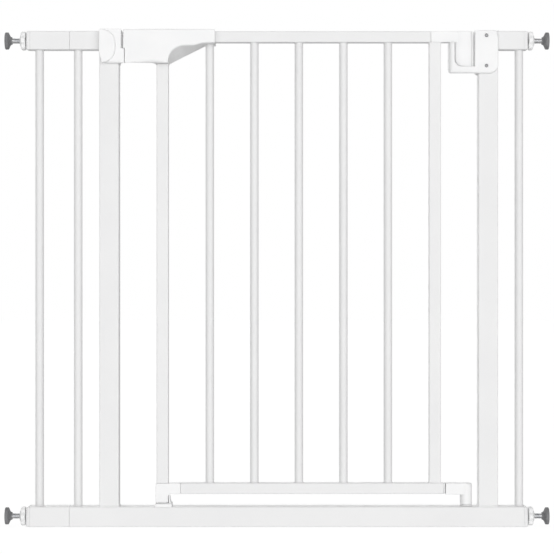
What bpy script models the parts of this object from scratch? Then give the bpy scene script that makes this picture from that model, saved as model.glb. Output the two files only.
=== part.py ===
"""Walk-through safety gate, held between two walls by four screw spindles.

Metres, +Z up. The gate stands in the XZ plane with its front towards -Y. The origin is on the floor,
midway between the walls and midway through the gate's depth. Every outline is given in the plane across
its extrusion: (y, z) for an extrusion along X, (x, z) along Y and (x, y) along Z.
"""

import math

import bmesh
import bpy
from mathutils import Vector

# Driving dimensions
HALF_WIDTH = 0.3902  # from the middle to the outer face of a rail's end cap
SEAM_X = -0.3220  # where the extension panel meets the fixed frame
GAP = 0.0003  # between pieces that touch

BOTTOM_RAIL_HEIGHT = 0.0315
BOTTOM_RAIL_DEPTH = 0.0300
TOP_RAIL_HEIGHT = 0.0290
TOP_RAIL_DEPTH = 0.0220
TOP_RAIL_TOP = 0.7695
FRAME_WALL = 0.0015
TUBE_CORNER = 0.0018  # outer corners of every square tube
CAP_THICKNESS = 0.0066
CAP_ROUNDING = 0.0030

POST_WIDTH = 0.0305
POST_DEPTH = 0.0260
POST_TOP = 0.7683
LEFT_POST_X = -0.2603
RIGHT_POST_X = 0.3276

ROD_RADIUS = 0.0066
ROD_WALL = 0.0010
FRAME_RODS = {"extension_rod": -0.3695, "left_frame_rod": -0.3095, "right_frame_rod": 0.3765}
DOOR_ROD_COUNT = 5
DOOR_ROD_FIRST_X = -0.1046
DOOR_ROD_PITCH = 0.0693

DOOR_TUBE = 0.0176  # depth of the door's square tubes
DOOR_WALL = 0.0012
DOOR_BOTTOM = 0.0507
DOOR_TOP = 0.7693
LEFT_STILE_X = -0.1778
RIGHT_STILE_X = 0.2454
STILE_WIDTH = 0.0185

PIVOT_X = 0.2940
PIN_RADIUS = 0.0040
BORE_CLEARANCE = 0.0003

HANDLE_LEFT = -0.2383
HANDLE_RIGHT = -0.0957
HANDLE_BOTTOM = 0.7189
HANDLE_TOP = 0.7710
HANDLE_HALF_DEPTH = 0.0220
HANDLE_WALL = 0.0025
HANDLE_SCREWS = [(-0.1560, 0.7650), (-0.2200, 0.7300)]
JAW_TOP = 0.7415  # the receiver's lower jaw, and the step in the handle's end above it
LATCH_Z = 0.7540
LATCH_HALF = 0.0060

SPINDLE_RADIUS = 0.00425
SPINDLE_LEVELS = {"bottom": BOTTOM_RAIL_HEIGHT / 2, "top": TOP_RAIL_TOP - TOP_RAIL_HEIGHT / 2}
SIDES = {"left": -1, "right": 1}
SPINDLE_INNER = 0.3560
SPINDLE_OUTER = 0.4175
PAD_FACE = 0.4228
PAD_PROFILE = [  # behind the face, radius
    (0.0108, 0.0056),
    (0.0085, 0.0068),
    (0.0068, 0.0100),
    (0.0056, 0.0127),
    (0.0046, 0.0133),
    (0.0008, 0.0133),
    (0.0000, 0.0125),
]
NUT_SIDES = 36
NUT_LOBES = 6
NUT_PROFILE = [  # beyond the end cap, radius, depth of the scallops
    (0.0004, 0.0140, 0.0010),
    (0.0012, 0.0153, 0.0016),
    (0.0062, 0.0153, 0.0016),
    (0.0080, 0.0138, 0.0012),
    (0.0088, 0.0078, 0.0),
    (0.0096, 0.0072, 0.0),
]

PLACE = {
    "X": lambda u, v, along: (along, u, v),
    "Y": lambda u, v, along: (u, along, v),
    "Z": lambda u, v, along: (u, v, along),
}


# Outlines

def circle(radius, sides, centre=(0.0, 0.0)):
    turns = [2 * math.pi * k / sides for k in range(sides)]
    return [(centre[0] + radius * math.cos(t), centre[1] + radius * math.sin(t)) for t in turns]


def arc(centre, radius, start, end, steps):
    """Points along an arc, with its angles in degrees, both ends included."""
    turns = [math.radians(start + (end - start) * k / steps) for k in range(steps + 1)]
    return [(centre[0] + radius * math.cos(t), centre[1] + radius * math.sin(t)) for t in turns]


def rounded_rectangle(width, height, radius, centre=(0.0, 0.0), steps=3):
    corners = [(1, 1, 0), (-1, 1, 90), (-1, -1, 180), (1, -1, 270)]
    outline = []
    for right, up, angle in corners:
        corner = (
            centre[0] + right * (width / 2 - radius),
            centre[1] + up * (height / 2 - radius),
        )
        outline += arc(corner, radius, angle, angle + 90, steps)
    return outline


# Meshes

def solid(rings, closed=False):
    """A mesh through equal rings of points, capped, or with its last ring joined to its first if closed."""
    mesh = bmesh.new()
    loops = [[mesh.verts.new(point) for point in ring] for ring in rings]
    pairs = list(zip(loops, loops[1:]))
    if closed:
        pairs.append((loops[-1], loops[0]))
    else:
        mesh.faces.new(loops[0])
        mesh.faces.new(loops[-1])
    for near, far in pairs:
        for k in range(len(near)):
            after = (k + 1) % len(near)
            mesh.faces.new((near[k], near[after], far[after], far[k]))
    bmesh.ops.recalc_face_normals(mesh, faces=mesh.faces)
    return mesh


def prism(outline, start, end, axis, end_outline=None):
    place = PLACE[axis]
    near = [place(u, v, start) for u, v in outline]
    far = [place(u, v, end) for u, v in end_outline or outline]
    return solid([near, far])


def hollow_bar(outer, inner, start, end, axis):
    """A tube that is open at both ends."""
    place = PLACE[axis]
    walls = [(outer, start), (outer, end), (inner, end), (inner, start)]
    rings = [[place(u, v, along) for u, v in outline] for outline, along in walls]
    return solid(rings, closed=True)


def box(low, high):
    outline = [(low[0], low[1]), (high[0], low[1]), (high[0], high[1]), (low[0], high[1])]
    return prism(outline, low[2], high[2], "Z")


def spigot(low, high, axis):
    """A bar with rounded edges along an axis, to go inside a tube."""
    along = "XYZ".index(axis)
    across = [k for k in range(3) if k != along]
    sizes = [high[k] - low[k] for k in across]
    centre = [(high[k] + low[k]) / 2 for k in across]
    return prism(rounded_rectangle(*sizes, 0.0018, centre), low[along], high[along], axis)


def cylinder(radius, start, end, axis, centre=(0.0, 0.0), sides=16):
    return prism(circle(radius, sides, centre), start, end, axis)


def turned(profile, axis, centre=(0.0, 0.0), sides=16):
    """A profile of (along, radius) points turned about an axis, with a cap at each end."""
    place = PLACE[axis]
    rings = [
        [place(u, v, along) for u, v in circle(radius, sides, centre)] for along, radius in profile
    ]
    return solid(rings)


def helix(start, end, radius, wire, turns, centre, steps_per_turn=10, sides=6):
    """A round wire coiled about an axis along X."""
    rings = []
    count = turns * steps_per_turn
    for k in range(count + 1):
        turn = 2 * math.pi * k / steps_per_turn
        outward = Vector((0.0, math.cos(turn), math.sin(turn)))
        middle = Vector((start + (end - start) * k / count, centre[0], centre[1])) + radius * outward
        ring = []
        for side in range(sides):
            angle = 2 * math.pi * side / sides
            offset = outward * math.cos(angle) + Vector((1.0, 0.0, 0.0)) * math.sin(angle)
            ring.append(middle + wire * offset)
        rings.append(ring)
    return solid(rings)


def boolean(body, tool, operation):
    """The Boolean of two meshes. Both are used up."""
    scene = bpy.context.scene
    workers = []
    for part in (body, tool):
        mesh = bpy.data.meshes.new("worker")
        part.to_mesh(mesh)
        part.free()
        worker = bpy.data.objects.new("worker", mesh)
        scene.collection.objects.link(worker)
        workers.append(worker)
    modifier = workers[0].modifiers.new("boolean", "BOOLEAN")
    modifier.operation = operation
    modifier.solver = "EXACT"
    modifier.object = workers[1]
    evaluated = workers[0].evaluated_get(bpy.context.evaluated_depsgraph_get())
    result = bmesh.new()
    result.from_mesh(evaluated.to_mesh())
    for worker in workers:
        mesh = worker.data
        bpy.data.objects.remove(worker)
        bpy.data.meshes.remove(mesh)
    return result


def cut(body, *tools):
    for tool in tools:
        body = boolean(body, tool, "DIFFERENCE")
    return body


def join(body, *others):
    for other in others:
        body = boolean(body, other, "UNION")
    return body


# Objects

def clear_scene():
    for old in list(bpy.data.objects):
        bpy.data.objects.remove(old)


def make_material(name, colour, roughness, metallic):
    material = bpy.data.materials.new(name)
    material.use_nodes = True
    shader = material.node_tree.nodes["Principled BSDF"]
    shader.inputs["Base Color"].default_value = (*colour, 1.0)
    shader.inputs["Roughness"].default_value = roughness
    shader.inputs["Metallic"].default_value = metallic
    return material


def make_materials():
    return {
        "paint": make_material("white_paint", (0.82, 0.82, 0.82), 0.35, 0.0),
        "plastic": make_material("white_plastic", (0.90, 0.90, 0.90), 0.40, 0.0),
        "rubber": make_material("grey_rubber", (0.13, 0.13, 0.14), 0.75, 0.0),
        "zinc": make_material("zinc_steel", (0.55, 0.56, 0.58), 0.35, 1.0),
    }


def make_empty(name, at, parent=None):
    empty = bpy.data.objects.new(name, None)
    empty.empty_display_size = 0.03
    bpy.context.scene.collection.objects.link(empty)
    hang(empty, at, parent)
    return empty


def hang(thing, at, parent):
    """Puts an object at a world place, under a parent that may have parents of its own."""
    thing["at"] = at
    thing.location = Vector(at) - Vector(parent["at"]) if parent else Vector(at)
    thing.parent = parent


def add_piece(name, mesh, material, at, parent=None):
    """A named object whose mesh was drawn in world coordinates and whose origin is at a world place."""
    bmesh.ops.translate(mesh, verts=mesh.verts, vec=-Vector(at))
    data = bpy.data.meshes.new(name)
    mesh.to_mesh(data)
    mesh.free()
    data.shade_smooth()
    data.set_sharp_from_angle(angle=math.radians(35))
    data.materials.append(material)
    piece = bpy.data.objects.new(name, data)
    bpy.context.scene.collection.objects.link(piece)
    hang(piece, at, parent)
    return piece


# Fixed frame

def rail(start, end, bottom, height, depth, wall):
    middle = (0.0, bottom + height / 2)
    outer = rounded_rectangle(depth, height, TUBE_CORNER, middle)
    inner = rounded_rectangle(depth - 2 * wall, height - 2 * wall, TUBE_CORNER - wall, middle)
    return hollow_bar(outer, inner, start, end, "X")


def upright(x, width, depth, bottom, top, wall):
    outer = rounded_rectangle(width, depth, TUBE_CORNER, (x, 0.0))
    inner = rounded_rectangle(width - 2 * wall, depth - 2 * wall, TUBE_CORNER - wall, (x, 0.0))
    return hollow_bar(outer, inner, bottom, top, "Z")


def round_rod(x, bottom, top):
    outer = circle(ROD_RADIUS, 20, (x, 0.0))
    inner = circle(ROD_RADIUS - ROD_WALL, 20, (x, 0.0))
    return hollow_bar(outer, inner, bottom, top, "Z")


def add_bottom_rails(paint):
    tube_end = HALF_WIDTH - CAP_THICKNESS - GAP
    section = (0.0, BOTTOM_RAIL_HEIGHT, BOTTOM_RAIL_DEPTH, FRAME_WALL)
    fixed = cut(
        rail(SEAM_X + GAP / 2, tube_end, *section),
        cylinder(0.0063, 0.0250, 0.0400, "Z", (PIVOT_X, 0.0)),
        cylinder(0.0018, 0.0250, 0.0400, "Z", (LEFT_STILE_X, 0.0), 12),
    )
    add_piece("bottom_rail", fixed, paint, (0.0, 0.0, 0.0))
    extension = rail(-tube_end, SEAM_X - GAP / 2, *section)
    add_piece("extension_bottom_rail", extension, paint, (SEAM_X, 0.0, 0.0))


def add_top_rails(paint):
    tube_end = HALF_WIDTH - CAP_THICKNESS - GAP
    bottom = TOP_RAIL_TOP - TOP_RAIL_HEIGHT
    section = (bottom, TOP_RAIL_HEIGHT, TOP_RAIL_DEPTH, FRAME_WALL)
    spans = {
        "extension_top_rail": (-tube_end, SEAM_X - GAP / 2),
        "left_top_rail": (SEAM_X + GAP / 2, LEFT_POST_X - POST_WIDTH / 2 - GAP),
        "right_top_rail": (RIGHT_POST_X + POST_WIDTH / 2 + GAP, tube_end),
    }
    for name, (start, end) in spans.items():
        add_piece(name, rail(start, end, *section), paint, (start, 0.0, bottom))


def add_extension_plugs(zinc):
    """The steel tongues inside the tubes that join the extension panel to the fixed frame."""
    reach = 0.0210
    fit = FRAME_WALL + GAP
    levels = {
        "extension_plug_bottom": (0.0, BOTTOM_RAIL_HEIGHT, BOTTOM_RAIL_DEPTH),
        "extension_plug_top": (TOP_RAIL_TOP - TOP_RAIL_HEIGHT, TOP_RAIL_HEIGHT, TOP_RAIL_DEPTH),
    }
    for name, (bottom, height, depth) in levels.items():
        tongue = rail(
            SEAM_X - reach, SEAM_X + reach, bottom + fit, height - 2 * fit, depth - 2 * fit, FRAME_WALL
        )
        add_piece(name, tongue, zinc, (SEAM_X, 0.0, bottom + height / 2))


def strike_window():
    """The hole that takes the latch bolt, through the receiver's side and the wall of the post."""
    return box((-0.2480, -0.0072, 0.7460), (-0.2400, 0.0072, 0.7625))


def add_posts(paint):
    bottom = BOTTOM_RAIL_HEIGHT + GAP
    left = cut(
        upright(LEFT_POST_X, POST_WIDTH, POST_DEPTH, bottom, POST_TOP, FRAME_WALL),
        strike_window(),
    )
    add_piece("left_post", left, paint, (LEFT_POST_X, 0.0, bottom))
    holes = [cylinder(0.0018, -0.0150, -0.0100, "Y", place, 12) for place in bracket_screw_places()]
    right = cut(upright(RIGHT_POST_X, POST_WIDTH, POST_DEPTH, bottom, POST_TOP, FRAME_WALL), *holes)
    add_piece("right_post", right, paint, (RIGHT_POST_X, 0.0, bottom))


def add_frame_rods(paint):
    bottom = BOTTOM_RAIL_HEIGHT + GAP
    top = TOP_RAIL_TOP - TOP_RAIL_HEIGHT - GAP
    for name, x in FRAME_RODS.items():
        add_piece(name, round_rod(x, bottom, top), paint, (x, 0.0, bottom))


def end_cap(side, bottom, height, depth, corner):
    """A plastic cap with rounded outer edges, a plug inside the tube and a bore for the spindle."""
    outer = side * HALF_WIDTH
    inner = side * (HALF_WIDTH - CAP_THICKNESS)
    top = bottom + height
    bend = arc((outer - side * corner, top - corner), corner, 90 - side * 90, 90, 5)
    face = [(inner, bottom), (outer, bottom), *bend, (inner, top)]
    fit = FRAME_WALL + GAP
    ends = sorted((inner + side * 0.0005, inner - side * 0.0120))
    plug = spigot(
        (ends[0], -depth / 2 + fit, bottom + fit), (ends[1], depth / 2 - fit, top - fit), "X"
    )
    bore_ends = sorted((outer + side * 0.0050, inner - side * 0.0250))
    bore = cylinder(SPINDLE_RADIUS + 0.0005, *bore_ends, "X", (0.0, bottom + height / 2))
    reach = 4 * CAP_THICKNESS
    plan = rounded_rectangle(reach, depth, CAP_ROUNDING, (outer - side * reach / 2, 0.0))
    block = boolean(
        prism(face, -depth / 2, depth / 2, "Y"), prism(plan, bottom - 0.01, top + 0.01, "Z"), "INTERSECT"
    )
    return cut(join(block, plug), bore)


def add_end_caps(plastic):
    levels = {
        "bottom": (0.0, BOTTOM_RAIL_HEIGHT, BOTTOM_RAIL_DEPTH, 0.0060),
        "top": (TOP_RAIL_TOP - TOP_RAIL_HEIGHT, TOP_RAIL_HEIGHT, TOP_RAIL_DEPTH, 0.0030),
    }
    for level, sizes in levels.items():
        for side_name, side in SIDES.items():
            at = (side * HALF_WIDTH, 0.0, SPINDLE_LEVELS[level])
            add_piece(f"end_cap_{level}_{side_name}", end_cap(side, *sizes), plastic, at)


def bracket_screw_places():
    return [(0.3244, 0.7618), (0.3244, 0.7149)]


def add_latch_receiver(plastic):
    """The moulding that wraps the left post's head, with a jaw under the handle's stepped end."""
    left = LEFT_POST_X - POST_WIDTH / 2
    right = -0.2414
    post_right = LEFT_POST_X + POST_WIDTH / 2
    bottom = 0.7186
    top = 0.7718
    rounding = arc((left + 0.0205, bottom + 0.0180), 0.0180, 180, 270, 6)
    rounding = [(left if k == 0 else x - 0.0025, z) for k, (x, z) in enumerate(rounding)]
    body = [*rounding, (-0.2369, bottom), (-0.2369, JAW_TOP), (right, JAW_TOP), (right, top), (left, top)]
    boss = [(left, top - 0.0005), (left, bottom + 0.0170)]
    for k in range(1, 12):
        turn = math.radians(-90 + 15 * k)
        across = 0.0252 * abs(math.cos(turn)) ** 0.8
        along = 0.0262 * math.copysign(abs(math.sin(turn)) ** 0.8, math.sin(turn))
        boss.append((left + across, 0.7450 + along))
    whole = join(prism(body, -0.0200, 0.0200, "Y"), prism(boss, -0.0235, 0.0235, "Y"))
    clearance = box((left - 0.0050, -0.0133, 0.7000), (post_right + GAP, 0.0133, POST_TOP + GAP))
    receiver = cut(whole, clearance, strike_window())
    add_piece("latch_receiver", receiver, plastic, (LEFT_POST_X, 0.0, bottom))


def add_hinge_bracket(plastic, zinc):
    """A channel round the right post's head, with a shelf and a wall that cradle the door's knuckle."""
    right = RIGHT_POST_X + POST_WIDTH / 2
    corner = arc((right - 0.0135, 0.7165), 0.0135, 270, 360, 5)
    web = 0.3065
    outline = [
        (0.2668, 0.7030),
        *corner,
        (right, 0.7700),
        (web, 0.7700),
        (web, 0.7138),
        (0.2745, 0.7138),
        (0.2745, 0.7520),
        (0.2668, 0.7520),
    ]
    tools = [
        box((RIGHT_POST_X - POST_WIDTH / 2 - GAP, -0.0133, 0.6900), (0.3600, 0.0133, POST_TOP + GAP)),
        cylinder(PIN_RADIUS + BORE_CLEARANCE, 0.7050, 0.7250, "Z", (PIVOT_X, 0.0)),
    ]
    for place in bracket_screw_places():
        tools.append(cylinder(0.0018, -0.0200, -0.0100, "Y", place, 12))
        tools.append(cylinder(0.0034, -0.0200, -0.0161, "Y", place, 12))
    bracket = cut(prism(outline, -0.0175, 0.0175, "Y"), *tools)
    add_piece("hinge_bracket", bracket, plastic, (PIVOT_X, 0.0, 0.7138))
    for name, place in zip(("upper", "lower"), bracket_screw_places()):
        profile = [(-0.0173, 0.0030), (-0.0164, 0.0030), (-0.0164, 0.0014), (-0.0080, 0.0014)]
        screw = turned(profile, "Y", place, 12)
        add_piece(f"bracket_screw_{name}", screw, zinc, (place[0], -0.0173, place[1]))


def add_foot_catch(plastic, zinc):
    """The saddle on the bottom rail that the door's foot comes down on, with its flared stop."""
    rail_top = BOTTOM_RAIL_HEIGHT
    catch_top = 0.0364
    half = BOTTOM_RAIL_DEPTH / 2
    saddle = [
        (-half - 0.0020, rail_top - 0.0005),
        (-half - GAP, rail_top - 0.0005),
        (-half - GAP, rail_top + GAP),
        (half + GAP, rail_top + GAP),
        (half + GAP, rail_top - 0.0005),
        (half + 0.0020, rail_top - 0.0005),
        (half + 0.0020, catch_top),
        (-half - 0.0020, catch_top),
    ]
    plate = prism(saddle, -0.1889, -0.1645, "X")
    stop = [(-0.1680, 0.0355), (-0.1650, 0.0355), (-0.1650, 0.0385), (-0.1664, 0.0475), (-0.1680, 0.0475)]
    place = (LEFT_STILE_X, 0.0)
    catch = cut(
        join(plate, prism(stop, -0.0100, 0.0100, "Y")),
        cylinder(0.0018, 0.0250, 0.0400, "Z", place, 12),
        cylinder(0.0036, 0.0352, 0.0400, "Z", place, 12),
    )
    add_piece("foot_catch", catch, plastic, (LEFT_STILE_X, 0.0, rail_top))
    profile = [(0.0255, 0.0015), (0.0355, 0.0015), (0.0355, 0.0032), (0.0362, 0.0032)]
    add_piece("catch_screw", turned(profile, "Z", place, 12), zinc, (LEFT_STILE_X, 0.0, rail_top))


def add_pivot_socket(plastic):
    """The flanged bush, closed below, that stands in the bottom rail and holds the lower pin."""
    bore = PIN_RADIUS + BORE_CLEARANCE
    seat = BOTTOM_RAIL_HEIGHT + GAP
    profile = [
        (seat - 0.0123, 0.0060),
        (seat, 0.0060),
        (seat, 0.0094),
        (seat + 0.0018, 0.0094),
        (seat + 0.0018, bore),
        (seat - 0.0103, bore),
    ]
    bush = turned(profile, "Z", (PIVOT_X, 0.0))
    add_piece("pivot_socket", bush, plastic, (PIVOT_X, 0.0, BOTTOM_RAIL_HEIGHT))


# Door

def add_hinge_pins(zinc, swing):
    spans = {"upper_hinge_pin": (0.7053, 0.7500), "lower_pivot_pin": (0.0218, 0.0620)}
    for name, (bottom, top) in spans.items():
        chamfer = PIN_RADIUS * 0.2
        profile = [(bottom, PIN_RADIUS), (top - chamfer, PIN_RADIUS), (top, PIN_RADIUS - chamfer)]
        pin = turned(profile, "Z", (PIVOT_X, 0.0))
        add_piece(name, pin, zinc, (PIVOT_X, 0.0, bottom), swing)


def add_door_tubes(paint, door):
    rail_height = 0.0170
    bottom_rail = rail(-0.1497, 0.2587, DOOR_BOTTOM, rail_height, DOOR_TUBE, DOOR_WALL)
    top_rail = rail(-0.1350, 0.2387, DOOR_TOP - 0.0173, 0.0173, DOOR_TUBE, DOOR_WALL)
    above_rail = DOOR_BOTTOM + rail_height + GAP
    below_rail = DOOR_TOP - 0.0173 - GAP
    left = upright(LEFT_STILE_X, STILE_WIDTH, DOOR_TUBE, 0.0675, HANDLE_BOTTOM - GAP, DOOR_WALL)
    right = upright(RIGHT_STILE_X, STILE_WIDTH, DOOR_TUBE, above_rail, below_rail, DOOR_WALL)
    add_piece("door_bottom_rail", bottom_rail, paint, (PIVOT_X, 0.0, DOOR_BOTTOM), door)
    add_piece("door_top_rail", top_rail, paint, (PIVOT_X, 0.0, DOOR_TOP), door)
    add_piece("door_left_stile", left, paint, (LEFT_STILE_X, 0.0, DOOR_BOTTOM), door)
    add_piece("door_right_stile", right, paint, (RIGHT_STILE_X, 0.0, DOOR_BOTTOM), door)
    for k in range(DOOR_ROD_COUNT):
        x = DOOR_ROD_FIRST_X + k * DOOR_ROD_PITCH
        rod = round_rod(x, above_rail, below_rail)
        add_piece(f"door_rod_{k + 1}", rod, paint, (x, 0.0, above_rail), door)


def underside():
    """The handle's lower edge from the finger scoop to its right end: x, z in front and z behind."""
    scoop_end = (-0.1438, 0.7456)
    width = 0.0248
    height = 0.0251
    front = []
    for k in range(8):
        turn = math.radians(90 * k / 7)
        front.append((scoop_end[0] - width * math.cos(turn), scoop_end[1] - height * (1 - math.sin(turn))))
    front += [(-0.1314, 0.7456), (-0.1128, 0.7494), (HANDLE_RIGHT, 0.7500)]
    start = front[0]
    slope = (0.7479 - start[1]) / (-0.1143 - start[0])
    return [(x, z, min(z, start[1] + slope * (x - start[0]), 0.7490)) for x, z in front]


def handle_outline(share):
    """The handle's outline at a share of its depth, from 0 in front to 1 behind."""
    lower = [(x, front + share * (back - front)) for x, front, back in underside()]
    return [
        (-0.2357, HANDLE_BOTTOM),
        (lower[0][0], HANDLE_BOTTOM),
        *lower,
        (HANDLE_RIGHT, HANDLE_TOP),
        (HANDLE_LEFT, HANDLE_TOP),
        (HANDLE_LEFT, JAW_TOP),
        (-0.2357, JAW_TOP),
    ]


def latch_chamber(share):
    """The hollow round the latch, a wall's thickness inside the outline."""
    wall = HANDLE_WALL
    rib = -0.1423
    lower = [(x - wall, front + share * (back - front) + wall) for x, front, back in underside()]
    lower = [(x, z) for x, z in lower if x < rib - 0.0010]
    return [
        (-0.2357 + wall, HANDLE_BOTTOM + wall),
        (lower[0][0], HANDLE_BOTTOM + wall),
        *lower,
        (rib, lower[-1][1]),
        (rib, HANDLE_TOP - wall),
        (HANDLE_LEFT + wall, HANDLE_TOP - wall),
        (HANDLE_LEFT + wall, JAW_TOP + 0.0020),
        (-0.2357 + wall, JAW_TOP + 0.0020),
    ]


def handle_tools():
    """What is cut through both shells: rail socket, rod hole, bolt window and slider slot."""
    half = HANDLE_HALF_DEPTH - HANDLE_WALL
    return [
        box((-0.1395, -half, 0.7517), (HANDLE_RIGHT - 0.0025, half, DOOR_TOP + GAP)),
        box((-0.1000, -0.0091, 0.7517), (-0.0900, 0.0091, DOOR_TOP + GAP)),
        cylinder(ROD_RADIUS + GAP, 0.7400, 0.7530, "Z", (DOOR_ROD_FIRST_X, 0.0), 20),
        box((-0.2400, -0.0063, 0.7477), (-0.2350, 0.0063, 0.7603)),
        box((-0.2125, -0.0043, 0.7650), (-0.1675, 0.0043, 0.7750)),
    ]


def add_handle_shells(plastic, zinc, door):
    depth = HANDLE_HALF_DEPTH
    hollow = depth - HANDLE_WALL
    split = GAP / 2
    front = prism(handle_outline(0.0), -depth, -split, "Y", handle_outline(0.5))
    front = cut(front, prism(latch_chamber(0.0), -hollow, 0.0010, "Y"), *handle_tools())
    rear = prism(handle_outline(0.5), split, depth, "Y", handle_outline(1.0))
    rear = cut(rear, prism(latch_chamber(0.5), -0.0010, hollow, "Y"), *handle_tools())
    for place in HANDLE_SCREWS:
        front = join(front, cylinder(0.0034, -hollow - 0.0010, -split, "Y", place, 12))
        front = cut(front, cylinder(0.0016, -0.0120, 0.0010, "Y", place, 12))
        rear = join(rear, cylinder(0.0034, split, hollow + 0.0010, "Y", place, 12))
        rear = cut(rear, cylinder(0.0018, -0.0010, 0.0300, "Y", place, 12))
        rear = cut(rear, cylinder(0.0030, 0.0195, 0.0300, "Y", place, 12))
    tongue = box((-0.1845, 0.0010, 0.6900), (-0.1711, 0.0066, HANDLE_BOTTOM + 0.0010))
    rear = join(rear, tongue)
    at = (LEFT_STILE_X, 0.0, HANDLE_BOTTOM)
    add_piece("handle_front_shell", front, plastic, at, door)
    add_piece("handle_rear_shell", rear, plastic, at, door)
    for k, place in enumerate(HANDLE_SCREWS):
        profile = [(-0.0110, 0.0013), (0.0198, 0.0013), (0.0198, 0.0027), (0.0214, 0.0027)]
        screw = turned(profile, "Y", place, 12)
        add_piece(f"handle_screw_{k + 1}", screw, zinc, (place[0], 0.0214, place[1]), door)


def add_door_foot(plastic, door):
    """The corner moulding that joins the left stile to the door's bottom rail and rests in the catch."""
    outline = [
        (-0.1885, 0.0374),
        (-0.1690, 0.0374),
        (-0.1690, 0.0470),
        *arc((-0.1656, 0.0470), 0.0034, 180, 90, 3)[1:],
        (-0.1500, 0.0504),
        (-0.1500, 0.0672),
        (-0.1885, 0.0672),
    ]
    foot = join(
        prism(outline, -0.0095, 0.0095, "Y"),
        spigot((-0.1520, -0.0072, 0.0524), (-0.1300, 0.0072, 0.0660), "X"),
        spigot((-0.1854, -0.0072, 0.0660), (-0.1702, 0.0072, 0.0850), "Z"),
    )
    add_piece("door_foot", foot, plastic, (LEFT_STILE_X, 0.0, 0.0374), door)


def add_hinge_knuckle(plastic, door):
    """The upper hinge moulding, with spigots inside the top rail and the right stile."""
    swing_radius = 0.0188
    half = 0.0100
    lean = math.degrees(math.asin(half / swing_radius))
    plan = arc((PIVOT_X, 0.0), half, -90, 90, 8)
    plan += arc((PIVOT_X, 0.0), swing_radius, 180 - lean, 180 + lean, 6)
    bend = arc((0.2872, 0.7261), 0.0120, 270, 180, 5)
    trim = [
        (0.2872, 0.7100),
        *bend,
        (0.2740, 0.7261),
        (0.2740, 0.7300),
        (0.2000, 0.7300),
        (0.2000, 0.7800),
        (0.3100, 0.7800),
        (0.3100, 0.7100),
    ]
    knuckle = join(
        prism(plan, 0.7141, 0.7696, "Z"),
        box((0.2390, -0.0088, 0.7523), (0.2900, 0.0088, DOOR_TOP)),
        spigot((0.2250, -0.0072, 0.7536), (0.2400, 0.0072, 0.7677), "X"),
        spigot((0.2393, -0.0072, 0.7350), (0.2529, 0.0072, 0.7540), "Z"),
    )
    knuckle = boolean(knuckle, prism(trim, -0.0200, 0.0200, "Y"), "INTERSECT")
    bore = cylinder(PIN_RADIUS + BORE_CLEARANCE, 0.7000, 0.7640, "Z", (PIVOT_X, 0.0))
    add_piece("hinge_knuckle", cut(knuckle, bore), plastic, (PIVOT_X, 0.0, 0.7141), door)


def add_pivot_elbow(plastic, rubber, door):
    elbow = join(
        cylinder(0.0094, 0.0340, 0.0672, "Z", (PIVOT_X, 0.0), 20),
        box((0.2631, -0.0088, 0.0496), (PIVOT_X, 0.0088, 0.0674)),
        spigot((0.2450, -0.0068, 0.0530), (0.2650, 0.0068, 0.0654), "X"),
    )
    bore = cylinder(PIN_RADIUS + BORE_CLEARANCE, 0.0250, 0.0640, "Z", (PIVOT_X, 0.0))
    add_piece("pivot_elbow", cut(elbow, bore), plastic, (PIVOT_X, 0.0, 0.0340), door)
    middle = (0.0, 0.0592)
    outer = rounded_rectangle(0.0170, 0.0164, 0.0025, middle)
    inner = rounded_rectangle(0.0142, 0.0130, 0.0005, middle)
    ring = hollow_bar(outer, inner, 0.2590, 0.2628, "X")
    add_piece("pivot_ring", ring, rubber, (0.2590, 0.0, 0.0592), door)


def add_latch(plastic, zinc, slide):
    """Thumb slider, bolt and return spring. They are drawn with the slider pulled back."""
    bolt_left = -0.2370
    bolt_right = -0.1650
    low = LATCH_Z - LATCH_HALF
    high = LATCH_Z + LATCH_HALF
    bolt = box((bolt_left, -LATCH_HALF, low), (bolt_right, LATCH_HALF, high))
    add_piece("latch_bolt", bolt, zinc, (bolt_left, 0.0, LATCH_Z), slide)
    plate = rounded_rectangle(0.0740, 0.0160, 0.0050, (-0.1810, 0.0))
    slider = join(
        prism(plate, HANDLE_TOP + GAP, HANDLE_TOP + 0.0018, "Z"),
        box((-0.2000, -0.0040, high + GAP), (-0.1700, 0.0040, HANDLE_TOP + 0.0010)),
    )
    add_piece("thumb_slider", slider, plastic, (-0.1850, 0.0, HANDLE_TOP), slide)
    spring = helix(bolt_right + 0.0009, -0.1432, 0.0042, 0.0005, 7, (0.0, LATCH_Z))
    add_piece("latch_spring", spring, zinc, (bolt_right, 0.0, LATCH_Z), slide)


# Wall spindles

def lobed_outline(radius, scallop, centre):
    """A hand nut's edge, with scallops of that depth between its lobes."""
    points = []
    for k in range(NUT_SIDES):
        turn = 2 * math.pi * k / NUT_SIDES
        reach = radius - scallop * (1 - math.cos(NUT_LOBES * turn)) / 2
        points.append((centre[0] + reach * math.cos(turn), centre[1] + reach * math.sin(turn)))
    return points


def add_threaded_rod(name, side, centre, zinc, at, travel):
    chamfer = 0.0008
    profile = [
        (side * SPINDLE_INNER, SPINDLE_RADIUS - chamfer),
        (side * (SPINDLE_INNER + chamfer), SPINDLE_RADIUS),
        (side * SPINDLE_OUTER, SPINDLE_RADIUS),
    ]
    add_piece(f"spindle_{name}", turned(profile, "X", centre), zinc, at, travel)


def add_wall_pad(name, side, centre, rubber, at, travel):
    """A round pad with a dished back, pressed on the rod's end."""
    profile = [(side * (PAD_FACE - depth), radius) for depth, radius in PAD_PROFILE]
    bore_ends = sorted((side * (PAD_FACE - 0.0150), side * (SPINDLE_OUTER + GAP)))
    socket = cylinder(SPINDLE_RADIUS + GAP, *bore_ends, "X", centre)
    pad = cut(turned(profile, "X", centre, 24), socket)
    add_piece(f"wall_pad_{name}", pad, rubber, at, travel)


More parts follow.
